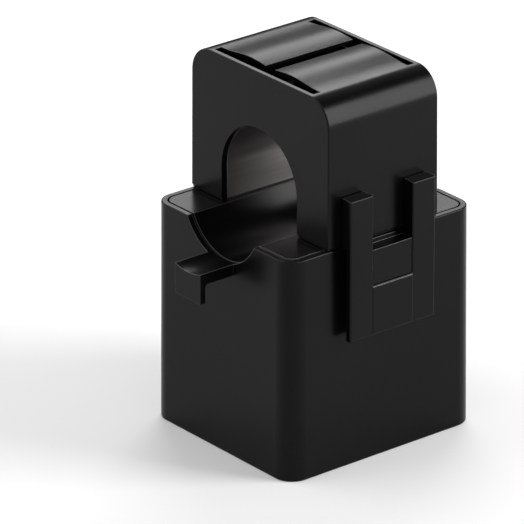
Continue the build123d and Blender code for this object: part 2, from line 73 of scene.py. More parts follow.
# %% [markdown]
# ## Small helpers for trees of nodes
# A finish is a tree of nodes, and so is a rule for geometry. Both could be joined by hand in
# Blender's editors, but a script can be read and run again. The helpers below add a node, set its
# sockets by name or in order, and join sockets, so the later cells can speak of the finish itself.

# %% Node helpers
def set_socket(tree, socket, value):
    """Gives a socket a plain value, or joins it to another node's output."""
    if isinstance(value, bpy.types.NodeSocket):
        tree.links.new(value, socket)
    else:
        socket.default_value = value


def add_node(tree, kind, settings=None, **sockets):
    """A node with its settings, and its input sockets by name."""
    node = tree.nodes.new(kind)
    for key, value in (settings or {}).items():
        setattr(node, key, value)
    for key, value in sockets.items():
        set_socket(tree, node.inputs[key.replace("_", " ")], value)
    return node


def calculate(tree, kind, operation, *values):
    """A node that works out one operation, with its inputs in order."""
    node = add_node(tree, kind, {"operation": operation})
    for socket, value in zip(node.inputs, values):
        set_socket(tree, socket, value)
    return node


def number(tree, operation, *values):
    """The result of one operation on numbers."""
    return calculate(tree, "ShaderNodeMath", operation, *values).outputs[0]


def vector(tree, operation, *values):
    """The outputs of one operation on vectors."""
    return calculate(tree, "ShaderNodeVectorMath", operation, *values).outputs


def between(tree, value, start, stop, low=0.0, high=1.0):
    """A value brought from the range start to stop into the range low to high."""
    span = add_node(tree, "ShaderNodeMapRange", Value=value, To_Min=low, To_Max=high)
    span.inputs["From Min"].default_value = start
    span.inputs["From Max"].default_value = stop
    return span.outputs[0]


print("helpers for nodes ready")

# %% [markdown]
# ## What every finish has
# Each material starts as an empty tree with a Principled shader. Its patterns read the piece's own
# coordinates, so they need no unwrapping and stay on the piece when it moves. A mould, a saw or a
# die never leaves an edge quite sharp. Modelled rounds would cost the engineering model many faces,
# so a Bevel shader node rounds the normals over each edge, and a Bump node lays a fine relief over
# that.

# %% Parts of a finish
def emptied(holder):
    """The emptied node tree of a material or a world."""
    holder.use_nodes = True
    holder.node_tree.nodes.clear()
    return holder.node_tree


def new_finish(name):
    """A new material with its output and a Principled shader."""
    material = bpy.data.materials.new(name)
    tree = emptied(material)
    output = tree.nodes.new("ShaderNodeOutputMaterial")
    shader = tree.nodes.new("ShaderNodeBsdfPrincipled")
    tree.links.new(shader.outputs["BSDF"], output.inputs["Surface"])
    return material, tree, shader


def own_coordinates(tree):
    """The piece's own coordinates, in metres."""
    return add_node(tree, "ShaderNodeTexCoord").outputs["Object"]


def rounded_edge(tree, radius):
    """Normals that turn softly over each edge of the piece."""
    return add_node(tree, "ShaderNodeBevel", {"samples": 8}, Radius=radius).outputs[0]


def relief(tree, height, rounded, strength, depth):
    """A fine relief over normals that are already rounded at the edges."""
    return add_node(
        tree, "ShaderNodeBump", Height=height, Normal=rounded, Strength=strength, Distance=depth
    ).outputs[0]


def two_tone(tree, pattern, dark, light, low=0.0, high=1.0):
    """A colour that goes from dark to light as the pattern goes from low to high."""
    ramp = add_node(tree, "ShaderNodeValToRGB", Fac=pattern)
    for stop, position, colour in zip(ramp.color_ramp.elements, (low, high), (dark, light)):
        stop.position = position
        stop.color = (*colour, 1)
    return ramp.outputs[0]


def surface(tree, shader, colour, roughness, normal):
    """Joins what changes over the surface to the shader."""
    tree.links.new(colour, shader.inputs["Base Color"])
    tree.links.new(roughness, shader.inputs["Roughness"])
    tree.links.new(normal, shader.inputs["Normal"])


print("parts of a finish ready")

# %% [markdown]
# ## Moulded grain
# The steel mould of such a housing is spark-eroded, which leaves a very fine matte grain on the
# plastic, and the flow of the plastic leaves broad, faint changes in gloss. A photograph of the
# grain would repeat and show seams, while a noise on the piece's coordinates has neither. Effects
# like these are shader groups with named inputs, built once and placed in a material with its own
# values.

# %% Moulded grain group
# Nearly all of a noise lies in this range.
NOISE_RANGE = (0.3, 0.7)


def new_group(tree_kind, name, inputs, outputs):
    """A tree with named inputs, as (name, kind, default), and outputs, as (name, kind)."""
    group = bpy.data.node_groups.new(name, tree_kind)
    for label, kind, value in inputs:
        socket = group.interface.new_socket(label, in_out="INPUT", socket_type=kind)
        if value is not None:
            socket.default_value = value
    for label, kind in outputs:
        group.interface.new_socket(label, in_out="OUTPUT", socket_type=kind)
    start = group.nodes.new("NodeGroupInput")
    end = group.nodes.new("NodeGroupOutput")
    return group, start.outputs, end.inputs


def noise(tree, place, scale, detail, **sockets):
    """A noise pattern at these coordinates."""
    return add_node(
        tree, "ShaderNodeTexNoise", Vector=place, Scale=scale, Detail=detail, **sockets
    ).outputs[0]


def make_moulded_grain():
    """Height of the fine grain, and a gloss value that drifts over the surface."""
    group, given, result = new_group(
        "ShaderNodeTree", "moulded_grain",
        [
            ("Vector", "NodeSocketVector", None),
            ("Grain Scale", "NodeSocketFloat", 9000.0),
            ("Flow Scale", "NodeSocketFloat", 60.0),
            ("Gloss Low", "NodeSocketFloat", 0.36),
            ("Gloss High", "NodeSocketFloat", 0.44),
        ],
        [("Height", "NodeSocketFloat"), ("Roughness", "NodeSocketFloat")],
    )
    grain = noise(group, given["Vector"], given["Grain Scale"], detail=3.0, Roughness=0.6)
    flow = noise(group, given["Vector"], given["Flow Scale"], detail=2.0, Roughness=0.5)
    gloss = between(group, flow, *NOISE_RANGE, given["Gloss Low"], given["Gloss High"])
    group.links.new(grain, result["Height"])
    group.links.new(gloss, result["Roughness"])
    return group


moulded_grain = make_moulded_grain()
print("group:", moulded_grain.name)

# %% [markdown]
# ## Drift
# No moulded or painted surface has one flat colour. It drifts slowly from place to place, and
# handling leaves finer patches of wear in it. Plastic, rubber, nylon and film tape all have this,
# so it is a group too, with two noises from one scale.

# %% Drift group
FINE_TO_BROAD = 4.0


def make_drift():
    """A broad, slow change over the surface, and a finer one."""
    group, given, result = new_group(
        "ShaderNodeTree", "drift",
        [("Vector", "NodeSocketVector", None), ("Scale", "NodeSocketFloat", 100.0)],
        [("Broad", "NodeSocketFloat"), ("Fine", "NodeSocketFloat")],
    )
    fine_scale = number(group, "MULTIPLY", given["Scale"], FINE_TO_BROAD)
    group.links.new(noise(group, given["Vector"], given["Scale"], detail=3.0), result["Broad"])
    group.links.new(noise(group, given["Vector"], fine_scale, detail=4.0), result["Fine"])
    return group


def placed(tree, group, **sockets):
    """The outputs of a group placed in a material with its own values."""
    return add_node(tree, "ShaderNodeGroup", {"node_tree": group}, **sockets).outputs


drift = make_drift()
print("group:", drift.name)

# %% [markdown]
# ## Edges that catch the light
# On black plastic the small round of each edge shows as a thin pale line wherever it faces up, and
# hardly at all on upright edges and undersides. A lamp could be placed to draw each line, but from
# another side it would miss. So the line is a painted highlight in the base colour. A mask finds the
# edges, where the rounded normal turns away from the face's own normal, and is then weakened where
# that normal doesn't point up in the piece's own frame.

# %% Mask of the painted edge highlight
EDGE_STARTS, EDGE_FULL = 0.98, 0.86
UPWARD_STARTS, UPWARD_FULL = 0.05, 0.45
SHARE_ON_OTHER_EDGES = 0.08
# A Mix node has sockets for each kind of data, and those for colours are found by number.
MIX_FIRST, MIX_SECOND, MIX_RESULT = 6, 7, 2


def own_height(tree, normal):
    """How far a normal points up in the piece's own frame, from -1 to 1."""
    own = add_node(
        tree, "ShaderNodeVectorTransform",
        {"vector_type": "NORMAL", "convert_from": "WORLD", "convert_to": "OBJECT"},
        Vector=normal,
    )
    return add_node(tree, "ShaderNodeSeparateXYZ", Vector=own.outputs[0]).outputs["Z"]


def painted_edge_highlight_mask(tree, rounded):
    """Where the painted highlight goes: 1 on an edge that faces up, a little on other edges, 0
    elsewhere.
    """
    face = add_node(tree, "ShaderNodeNewGeometry").outputs["True Normal"]
    turned = vector(tree, "DOT_PRODUCT", rounded, face)["Value"]
    edge = between(tree, turned, EDGE_STARTS, EDGE_FULL)
    height = own_height(tree, rounded)
    upward = between(tree, height, UPWARD_STARTS, UPWARD_FULL, low=SHARE_ON_OTHER_EDGES)
    return number(tree, "MULTIPLY", edge, upward)


def mixed_colour(tree, amount, first, second):
    """A colour that goes from the first to the second, each a link or a plain value."""
    mix = add_node(tree, "ShaderNodeMix", {"data_type": "RGBA"}, Factor=amount)
    for index, colour in ((MIX_FIRST, first), (MIX_SECOND, second)):
        linked = isinstance(colour, bpy.types.NodeSocket)
        set_socket(tree, mix.inputs[index], colour if linked else (*colour, 1))
    return mix.outputs[MIX_RESULT]


print("an edge is pale from", EDGE_STARTS, "and fully from", EDGE_FULL)

# %% [markdown]
# ## Black housing plastic
# The housing, its cover, the cap, the latch and the terminal block are black flame-retardant
# plastic with a satin surface. One flat black would look like a hole in the picture, so its colour
# changes faintly with the flow, the moulded grain gives it relief and gloss, and its edges that face
# up carry the painted highlight of the mask above.

# %% Black plastic
PLASTIC_EDGE = 0.20 * MM
PLASTIC_DRIFT = 35.0
GRAIN_STRENGTH = 0.05
GRAIN_DEPTH = 0.05 * MM
DRIFT_RANGE = (0.35, 0.65)


def moulded_plastic(name, dark, light, edge_highlight_colour, gloss, specular):
    """Satin plastic with a spark-eroded grain, soft edges and a painted highlight on upward edges.
    """
    material, tree, shader = new_finish(name)
    place = own_coordinates(tree)
    rounded = rounded_edge(tree, PLASTIC_EDGE)
    grain = placed(tree, moulded_grain, Vector=place, Gloss_Low=gloss[0], Gloss_High=gloss[1])
    broad = placed(tree, drift, Vector=place, Scale=PLASTIC_DRIFT)["Broad"]
    open_face = two_tone(tree, broad, dark, light, *DRIFT_RANGE)
    # The edge colour mixed in here is a painted highlight on the edges that face up.
    surface(
        tree, shader,
        colour=mixed_colour(tree, painted_edge_highlight_mask(tree, rounded), open_face, edge_highlight_colour),
        roughness=grain["Roughness"],
        normal=relief(tree, grain["Height"], rounded, GRAIN_STRENGTH, GRAIN_DEPTH),
    )
    shader.inputs["Specular IOR Level"].default_value = specular
    return material


# Its pale edge colour is a painted highlight on the edges that face up.
housing_finish = moulded_plastic(
    "housing_black_satin",
    dark=(0.0020, 0.0020, 0.0021), light=(0.0030, 0.0030, 0.0031),
    edge_highlight_colour=(0.17, 0.17, 0.17), gloss=(0.23, 0.28), specular=0.12,
)
print("finish:", housing_finish.name)

# %% [markdown]
# ## Fine lines in metal
# Rolled steel strip, turned brass and plated steel carry fine lines along one direction. They could
# be scratched in as a relief alone, but light catches their colour and gloss too. A noise that is
# fine across the lines and long along them drives all three. Every metal here uses it, each with
# its own stretch.

# %% Fine lines group
LINE_STRETCH = (900, 120, 900)


def make_fine_lines():
    """A noise with its own stretch along each axis, measured from a centre."""
    group, given, result = new_group(
        "ShaderNodeTree", "fine_lines",
        [
            ("Vector", "NodeSocketVector", None),
            ("Centre", "NodeSocketVector", (0, 0, 0)),
            ("Stretch", "NodeSocketVector", LINE_STRETCH),
        ],
        [("Lines", "NodeSocketFloat")],
    )
    centred = vector(group, "SUBTRACT", given["Vector"], given["Centre"])[0]
    stretched = add_node(group, "ShaderNodeMapping", Vector=centred, Scale=given["Stretch"])
    group.links.new(noise(group, stretched.outputs[0], 1.0, detail=5.0), result["Lines"])
    return group


fine_lines = make_fine_lines()
print("group:", fine_lines.name)

# %% [markdown]
# ## Steel of the core
# The core is wound from thin electrical steel strip, cut in two and ground. Its bore is the bare
# face of the innermost strip, a light grey metal with faint lines along the strip. Its ends and
# sides show the edges of the layers as fine lines at equal distances from the middle of the arch.
# Hundreds of thin sheets could be modelled, but at this size a relief in the finish shows the same.
# The poles where the halves meet are ground duller, and show once the cap is open. Round its poles
# the lower half is painted dark, as painted shade for the narrow gap at the seam.

# %% Core sizes
arch_low, arch_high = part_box("upper_core")
CORE_RADIUS = (arch_high[0] - arch_low[0]) / 2
ARCH_AXIS = (0, 0, arch_high[2] - CORE_RADIUS)
UPPER_POLES = arch_low[2]
LOWER_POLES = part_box("lower_core")[1][2]
CORE_LAYERS_PER_MM = 3.3
STRIP_STRETCH = (900, 60, 900)
POLE_DEPTH = 0.03 * MM
POLE_DULLING = 0.4
POLE_ROUGHNESS = 0.16
print("arch axis at", [round(value / MM, 2) for value in ARCH_AXIS], "mm")
print("poles at", round(LOWER_POLES / MM, 2), "and", round(UPPER_POLES / MM, 2), "mm")

# %% Core faces group
def make_core_faces():
    """A wave across the strips, and a mask of the level ground poles at one height.

    The wave follows the distance from the arch axis above it, and the distance along X below.
    """
    group, given, result = new_group(
        "ShaderNodeTree", "core_faces",
        [
            ("Vector", "NodeSocketVector", None),
            ("Arch Axis", "NodeSocketVector", (0, 0, 0)),
            ("Layers per Metre", "NodeSocketFloat", 3000.0),
            ("Pole Height", "NodeSocketFloat", 0.0),
            ("Pole Depth", "NodeSocketFloat", 0.0001),
        ],
        [("Layers", "NodeSocketFloat"), ("Pole", "NodeSocketFloat")],
    )
    centred = vector(group, "SUBTRACT", given["Vector"], given["Arch Axis"])[0]
    from_axis = add_node(group, "ShaderNodeSeparateXYZ", Vector=centred).outputs
    above = number(group, "MAXIMUM", from_axis["Z"], 0.0)
    across = add_node(group, "ShaderNodeCombineXYZ", X=from_axis["X"], Z=above).outputs[0]
    radius = vector(group, "LENGTH", across)["Value"]
    layers = number(group, "MULTIPLY", radius, given["Layers per Metre"])
    group.links.new(number(group, "PINGPONG", layers, 0.5), result["Layers"])
    height = add_node(group, "ShaderNodeSeparateXYZ", Vector=given["Vector"]).outputs["Z"]
    pole = number(group, "COMPARE", height, given["Pole Height"], given["Pole Depth"])
    group.links.new(pole, result["Pole"])
    return group


core_faces = make_core_faces()
print("group:", core_faces.name)

# %% Core steel
STEEL_EDGE = 0.12 * MM
STEEL_GLOSS = (0.34, 0.46)
LAYER_STRENGTH, LAYER_DEPTH = 0.35, 0.04 * MM


def core_steel(name, pole_height, painted_seam_shade=None):
    """Electrical steel with duller ground poles, its sides bare or painted dark as shade at the
    seam.
    """
    material, tree, shader = new_finish(name)
    place = own_coordinates(tree)
    lines = placed(
        tree, fine_lines, Vector=place, Centre=ARCH_AXIS, Stretch=STRIP_STRETCH
    )["Lines"]
    faces = placed(
        tree, core_faces,
        Vector=place, Arch_Axis=ARCH_AXIS, Layers_per_Metre=CORE_LAYERS_PER_MM / MM,
        Pole_Height=pole_height, Pole_Depth=POLE_DEPTH,
    )
    bare = two_tone(tree, lines, dark=(0.20, 0.19, 0.185), light=(0.30, 0.285, 0.275))
    ground = mixed_colour(tree, POLE_DULLING, bare, (0, 0, 0))
    rough = between(tree, lines, 0.0, 1.0, *STEEL_GLOSS)
    rounded = rounded_edge(tree, STEEL_EDGE)
    # Off the poles, a dark colour given for the sides is painted shade for the gap at the seam.
    surface(
        tree, shader,
        colour=mixed_colour(tree, faces["Pole"], painted_seam_shade or bare, ground),
        roughness=number(tree, "MULTIPLY_ADD", faces["Pole"], POLE_ROUGHNESS, rough),
        normal=relief(tree, faces["Layers"], rounded, LAYER_STRENGTH, LAYER_DEPTH),
    )
    set_socket(tree, shader.inputs["Metallic"], faces["Pole"] if painted_seam_shade else 1.0)
    return material


upper_core_finish = core_steel("core_ground_steel", UPPER_POLES)
# The lower half's dark sides are painted shade for the narrow gap at the seam.
lower_core_finish = core_steel("core_steel_painted_seam_shade", LOWER_POLES, painted_seam_shade=(0.006, 0.006, 0.006))
print("finishes:", upper_core_finish.name, lower_core_finish.name)

# %% [markdown]
# ## Rubber, nylon and tape
# The pad under the tongues is matt black rubber with a fine dusty speckle. The coil former is
# natural nylon, milky and slightly warm. The coil is covered with amber film tape, which is
# smooth and glossy. They differ only in colour, gloss and the scale of their drift, so one function
# makes all three, and none is a single flat value.

# %% Soft and pale finishes
SOFT_EDGE = 0.15 * MM
SOFT_STRENGTH, SOFT_DEPTH = 0.08, 0.05 * MM


def drifting_finish(name, dark, light, scale, gloss, specular=0.5, coat=0.0):
    """A finish whose colour and gloss drift over the surface."""
    material, tree, shader = new_finish(name)
    change = placed(tree, drift, Vector=own_coordinates(tree), Scale=scale)
    rounded = rounded_edge(tree, SOFT_EDGE)
    surface(
        tree, shader,
        colour=two_tone(tree, change["Broad"], dark, light, *DRIFT_RANGE),
        roughness=between(tree, change["Fine"], 0.0, 1.0, *gloss),
        normal=relief(tree, change["Fine"], rounded, SOFT_STRENGTH, SOFT_DEPTH),
    )
    shader.inputs["Specular IOR Level"].default_value = specular
    shader.inputs["Coat Weight"].default_value = coat
    return material


pad_finish = drifting_finish(
    "pad_black_rubber", dark=(0.010, 0.010, 0.010), light=(0.022, 0.021, 0.020),
    scale=900.0, gloss=(0.70, 0.90), specular=0.2,
)
nylon_finish = drifting_finish(
    "bobbin_natural_nylon", dark=(0.74, 0.71, 0.61), light=(0.81, 0.79, 0.71),
    scale=90.0, gloss=(0.38, 0.52),
)
tape_finish = drifting_finish(
    "coil_amber_tape", dark=(0.55, 0.30, 0.035), light=(0.68, 0.41, 0.06),
    scale=150.0, gloss=(0.18, 0.30), coat=0.4,
)
print("finishes:", pad_finish.name, nylon_finish.name, tape_finish.name)

# %% [markdown]
# ## Copper, brass and zinc-plated steel
# The wire of the coil is copper under a clear enamel, the clamps are brass, and the pins and screws
# are zinc-plated steel. A metal could be one colour that only mirrors, but bare metal shows how it
# was worked, so the fine lines set its colour, gloss and relief. The enamel is a coat over that.

# %% Metal finishes
METAL_EDGE = 0.08 * MM
LINE_STRENGTH, LINE_DEPTH = 0.10, 0.02 * MM


def worked_metal(name, dark, light, gloss, stretch=LINE_STRETCH, coat=0.0):
    """Metal with fine lines and a gloss that follows them."""
    material, tree, shader = new_finish(name)
    lines = placed(tree, fine_lines, Vector=own_coordinates(tree), Stretch=stretch)["Lines"]
    rounded = rounded_edge(tree, METAL_EDGE)
    surface(
        tree, shader,
        colour=two_tone(tree, lines, dark, light, *NOISE_RANGE),
        roughness=between(tree, lines, 0.0, 1.0, *gloss),
        normal=relief(tree, lines, rounded, LINE_STRENGTH, LINE_DEPTH),
    )
    shader.inputs["Metallic"].default_value = 1.0
    shader.inputs["Coat Weight"].default_value = coat
    return material


copper_finish = worked_metal(
    "enamelled_copper_wire", dark=(0.56, 0.20, 0.08), light=(0.72, 0.30, 0.14),
    gloss=(0.22, 0.34), stretch=(300, 300, 300), coat=0.5,
)
brass_finish = worked_metal(
    "terminal_brass", dark=(0.66, 0.50, 0.24), light=(0.80, 0.65, 0.36), gloss=(0.24, 0.38)
)
zinc_finish = worked_metal(
    "zinc_plated_steel", dark=(0.50, 0.51, 0.53), light=(0.66, 0.67, 0.69), gloss=(0.26, 0.42)
)
print("metals:", copper_finish.name, brass_finish.name, zinc_finish.name)

# %% [markdown]
# ## Give the finishes to the pieces
# The rigid pieces keep the shape that the engineering model gave them, and each gets the finish of
# its material. A finish could be put on the mesh, but it goes in the slot that the piece already
# has, by way of the object, so the mesh itself isn't touched.

# %% Assign finishes
FINISH_OF_NODE = {
    "housing": housing_finish,
    "core_cover": housing_finish,
    "cap": housing_finish,
    "latch": housing_finish,
    "terminal_block": housing_finish,
    "lower_core": lower_core_finish,
    "upper_core": upper_core_finish,
    "core_pad": pad_finish,
    "bobbin": nylon_finish,
    "terminal_clamps": brass_finish,
    "terminal_screws": zinc_finish,
    "hinge_pin": zinc_finish,
    "latch_pin": zinc_finish,
}
for node, finish in FINISH_OF_NODE.items():
    for slot in frame["nodes"][node].material_slots:
        slot.link = "OBJECT"
        slot.material = finish
print("dressed:", len(FINISH_OF_NODE), "pieces")

# %% [markdown]
# ## The coil, turn by turn
# The engineering model has the winding as one solid ring, because thousands of turns would be too
# heavy there. Here its outer layer is made of real turns. A turn is a rounded rectangle round the
# nylon former, and all turns are alike, so Geometry Nodes sweep one loop and set it out along the
# coil. The film tape over it is the same rule with a wide, flat strip, tilted so that each turn
# laps over the one before, so one tree makes both.

# %% End of a geometry tree
GEOMETRY_OUTPUT = [("Geometry", "NodeSocketGeometry")]


def set_out_copies(tree, shape, count, first, step, material, result):
    """Copies of a shape along a line, made real, shaded smooth and given their material."""
    places = add_node(
        tree, "GeometryNodeMeshLine", Count=count, Start_Location=first, Offset=step
    )
    copies = add_node(
        tree, "GeometryNodeInstanceOnPoints", Points=places.outputs[0], Instance=shape
    )
    real = add_node(tree, "GeometryNodeRealizeInstances", Geometry=copies.outputs[0])
    smooth = add_node(tree, "GeometryNodeSetShadeSmooth", Geometry=real.outputs[0])
    painted = add_node(
        tree, "GeometryNodeSetMaterial", Geometry=smooth.outputs[0], Material=material
    )
    tree.links.new(painted.outputs[0], result["Geometry"])


print("end of a geometry tree ready")

# %% Loop tree
CORNER_POINTS, STRIP_CORNER_POINTS = 5, 1
ROUND_X_AXIS = (math.pi / 2, 0, math.pi / 2)


def rounded_rectangle(tree, width, height, corner, points_at_corner):
    """A closed curve with four round corners."""
    sharp = add_node(
        tree, "GeometryNodeCurvePrimitiveQuadrilateral", Width=width, Height=height
    )
    return add_node(
        tree, "GeometryNodeFilletCurve", {"mode": "POLY"},
        Curve=sharp.outputs[0], Count=points_at_corner, Radius=corner,
    ).outputs[0]


def make_loop_tree():
    """Rounded rectangular loops round the X axis, set out along it."""
    tree, given, result = new_group(
        "GeometryNodeTree", "coil_loops",
        [
            ("Turns", "NodeSocketInt", 40),
            ("First Turn", "NodeSocketVector", (0, 0, 0)),
            ("Pitch", "NodeSocketVector", (0.0005, 0, 0)),
            ("Width", "NodeSocketFloat", 0.04),
            ("Height", "NodeSocketFloat", 0.02),
            ("Corner", "NodeSocketFloat", 0.006),
            ("Strip Width", "NodeSocketFloat", 0.0005),
            ("Strip Thickness", "NodeSocketFloat", 0.0005),
            ("Strip Rounding", "NodeSocketFloat", 0.0002),
            ("Lap Tilt", "NodeSocketVector", (0, 0, 0)),
            ("Material", "NodeSocketMaterial", None),
        ],
        GEOMETRY_OUTPUT,
    )
    loop = rounded_rectangle(
        tree, given["Width"], given["Height"], given["Corner"], CORNER_POINTS
    )
    strip = rounded_rectangle(
        tree, given["Strip Thickness"], given["Strip Width"], given["Strip Rounding"],
        STRIP_CORNER_POINTS,
    )
    tilted = add_node(tree, "GeometryNodeTransform", Geometry=strip, Rotation=given["Lap Tilt"])
    turn = add_node(
        tree, "GeometryNodeCurveToMesh", Curve=loop, Profile_Curve=tilted.outputs[0]
    )
    upright = add_node(
        tree, "GeometryNodeTransform", Geometry=turn.outputs[0], Rotation=ROUND_X_AXIS
    )
    set_out_copies(
        tree, upright.outputs[0], given["Turns"], given["First Turn"], given["Pitch"],
        given["Material"], result,
    )
    return tree


loop_tree = make_loop_tree()
print("tree:", loop_tree.name)

# %% [markdown]
# ## From a tree to a plain piece
# A tree could stay live as a modifier, but the engineering side needs plain meshes. So it runs on
# an empty object with its inputs set by their identifiers, the result is copied to a mesh, and the
# modifier goes away with its object. The new piece then rides on its body, and the solid that it
# replaces is hidden.

# %% Grow a piece
def grow(name, tree, **values):
    """Runs a geometry tree with these inputs and keeps the result as a plain mesh."""
    seed = bpy.data.objects.new(name + "_seed", bpy.data.meshes.new(name + "_seed"))
    bpy.context.scene.collection.objects.link(seed)
    modifier = seed.modifiers.new("grow", "NODES")
    modifier.node_group = tree
    identifiers = {
        item.name: item.identifier
        for item in tree.interface.items_tree
        if item.item_type == "SOCKET" and item.in_out == "INPUT"
    }
    for label, value in values.items():
        modifier[identifiers[label.replace("_", " ")]] = value
    bpy.context.view_layer.update()
    grown = seed.evaluated_get(bpy.context.evaluated_depsgraph_get())
    mesh = bpy.data.meshes.new_from_object(grown)
    mesh.name = name
    bpy.data.objects.remove(seed)
    piece = bpy.data.objects.new(name, mesh)
    bpy.context.scene.collection.objects.link(piece)
    print(name, "has", len(mesh.polygons), "faces")
    return piece


def middle_and_size(node):
    """Middle and size of a CAD piece, as vectors."""
    low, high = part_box(node)
    return (Vector(low) + Vector(high)) / 2, Vector(high) - Vector(low)


print("pieces can be grown")

# %% [markdown]
# ## Winding and tape
# The wire is wound side by side, so its turns lie a wire's width apart and fill the length of the
# winding's solid, just inside it. One long helix would do as well, but its slant is far too small
# to see. The tape goes over the same corners in six wide wraps. Each is tilted by its own thickness
# over the pitch, so it climbs on the one before.

# %% Winding
WIRE = 0.5 * MM
COIL_CORNER = 6.1 * MM
ROUNDING_TO_THICKNESS = 0.3
coil_middle, coil_size = middle_and_size("winding")
turns = int(coil_size.x / WIRE)
first_turn = Vector((coil_middle.x - (turns - 1) * WIRE / 2, 0, coil_middle.z))
winding = grow(
    "winding_turns", loop_tree,
    Turns=turns, First_Turn=first_turn, Pitch=(WIRE, 0, 0),
    Width=coil_size.y - WIRE, Height=coil_size.z - WIRE, Corner=COIL_CORNER - WIRE / 2,
    Strip_Width=WIRE, Strip_Thickness=WIRE, Strip_Rounding=ROUNDING_TO_THICKNESS * WIRE,
    Material=copper_finish,
)
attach(winding, "base")
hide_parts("winding")

# %% Tape
TAPE_WRAPS = 6
TAPE_THICKNESS = 0.12 * MM
WRAP_TO_PITCH = 1.9
sleeve_middle, sleeve_size = middle_and_size("winding_tape")
tape_pitch = sleeve_size.x / (TAPE_WRAPS + 1)
first_wrap = Vector((sleeve_middle.x - (TAPE_WRAPS - 1) * tape_pitch / 2, 0, sleeve_middle.z))
tape = grow(
    "winding_tape_wraps", loop_tree,
    Turns=TAPE_WRAPS, First_Turn=first_wrap, Pitch=(tape_pitch, 0, 0),
    Width=sleeve_size.y - 2 * TAPE_THICKNESS, Height=sleeve_size.z - 2 * TAPE_THICKNESS,
    Corner=COIL_CORNER, Strip_Width=WRAP_TO_PITCH * tape_pitch,
    Strip_Thickness=TAPE_THICKNESS, Strip_Rounding=ROUNDING_TO_THICKNESS * TAPE_THICKNESS,
    Lap_Tilt=(0, 0, math.atan(TAPE_THICKNESS / tape_pitch)),
    Material=tape_finish,
)
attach(tape, "base")
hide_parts("winding_tape")

# %% [markdown]
# ## The two leads
# Each lead drops from the underside of the coil and bends back to the tail of its clamp. It could
# be three straight stretches, but wire bends in one easy sweep. It follows a path, so a tree sweeps
# a round profile along a short curve, once, and copies it to the second terminal.

# %% Lead tree
LEADS = 2
PATH_POINTS, ROUND_POINTS = 20, 16


def make_lead_tree():
    """A wire along a curve with one bend, copied along X."""
    tree, given, result = new_group(
        "GeometryNodeTree", "coil_leads",
        [
            ("Start", "NodeSocketVector", (0, 0, 0)),
            ("Bend", "NodeSocketVector", (0, 0, 0)),
            ("End", "NodeSocketVector", (0, 0, 0)),
            ("First Lead", "NodeSocketVector", (0, 0, 0)),
            ("Spacing", "NodeSocketVector", (0, 0, 0)),
            ("Wire Radius", "NodeSocketFloat", 0.0004),
            ("Material", "NodeSocketMaterial", None),
        ],
        GEOMETRY_OUTPUT,
    )
    path = add_node(
        tree, "GeometryNodeCurveQuadraticBezier",
        Resolution=PATH_POINTS, Start=given["Start"], Middle=given["Bend"], End=given["End"],
    )
    profile = add_node(
        tree, "GeometryNodeCurvePrimitiveCircle",
        Resolution=ROUND_POINTS, Radius=given["Wire Radius"],
    )
    wire = add_node(
        tree, "GeometryNodeCurveToMesh",
        Curve=path.outputs[0], Profile_Curve=profile.outputs[0], Fill_Caps=True,
    )
    set_out_copies(
        tree, wire.outputs[0], LEADS, given["First Lead"], given["Spacing"],
        given["Material"], result,
    )
    return tree


lead_tree = make_lead_tree()
print("tree:", lead_tree.name)

# %% Leads
LEAD_RADIUS = 0.4 * MM
lead_low, lead_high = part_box("winding_leads")
lead_half_spacing = lead_high[0] - LEAD_RADIUS
lead_top = Vector((0, lead_low[1] + LEAD_RADIUS, lead_high[2]))
lead_end = Vector((0, lead_high[1], lead_low[2] + LEAD_RADIUS))
leads = grow(
    "winding_lead_wires", lead_tree,
    Start=lead_top, Bend=Vector((0, lead_top.y, lead_end.z)), End=lead_end,
    First_Lead=(-lead_half_spacing, 0, 0), Spacing=(2 * lead_half_spacing, 0, 0),
    Wire_Radius=LEAD_RADIUS, Material=copper_finish,
)
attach(leads, "base")
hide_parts("winding_leads")

# %% [markdown]
# ## A white studio
# The photograph was taken on a white sweep. More light on a grey one would whiten it too, but it
# would also wash out the black plastic. So the floor is pale paper that catches the shadow, and it
# and the air are lifted to white only for the camera and for mirrored and refracted rays. No extra
# light falls on the object, and plastic and steel still mirror a white room.

# %% Rays and cards of the studio
WHITE = (1, 1, 1, 1)


def white_studio_rays(tree):
    """1 for camera, glossy and transmitted rays, 0 for the rays that light the object."""
    path = add_node(tree, "ShaderNodeLightPath")
    total = path.outputs["Is Camera Ray"]
    for kind in ("Is Glossy Ray", "Is Transmission Ray"):
        total = number(tree, "MAXIMUM", total, path.outputs[kind])
    return total


def flat_card(name, corners, material_name, shader_of):
    """A flat card of the studio, with the material that another function makes."""
    mesh = bpy.data.meshes.new(name)
    mesh.from_pydata(corners, [], [(0, 1, 2, 3)])
    material = bpy.data.materials.new(material_name)
    tree = emptied(material)
    output = tree.nodes.new("ShaderNodeOutputMaterial")
    tree.links.new(shader_of(tree), output.inputs["Surface"])
    mesh.materials.append(material)
    card = bpy.data.objects.new(name, mesh)
    bpy.context.scene.collection.objects.link(card)
    return card


print("studio helpers ready")

# %% Floor
FLOOR_HALF = 6.0
FLOOR_PAPER = (0.80, 0.80, 0.80, 1)
FLOOR_LIFT = 0.14


def pale_paper(tree):
    """Pale paper, lifted towards white for the rays that see the studio."""
    paper = add_node(tree, "ShaderNodeBsdfDiffuse", Color=FLOOR_PAPER)
    lift = number(tree, "MULTIPLY", white_studio_rays(tree), FLOOR_LIFT)
    glow = add_node(tree, "ShaderNodeEmission", Color=WHITE, Strength=lift)
    both = tree.nodes.new("ShaderNodeAddShader")
    tree.links.new(paper.outputs[0], both.inputs[0])
    tree.links.new(glow.outputs[0], both.inputs[1])
    return both.outputs[0]


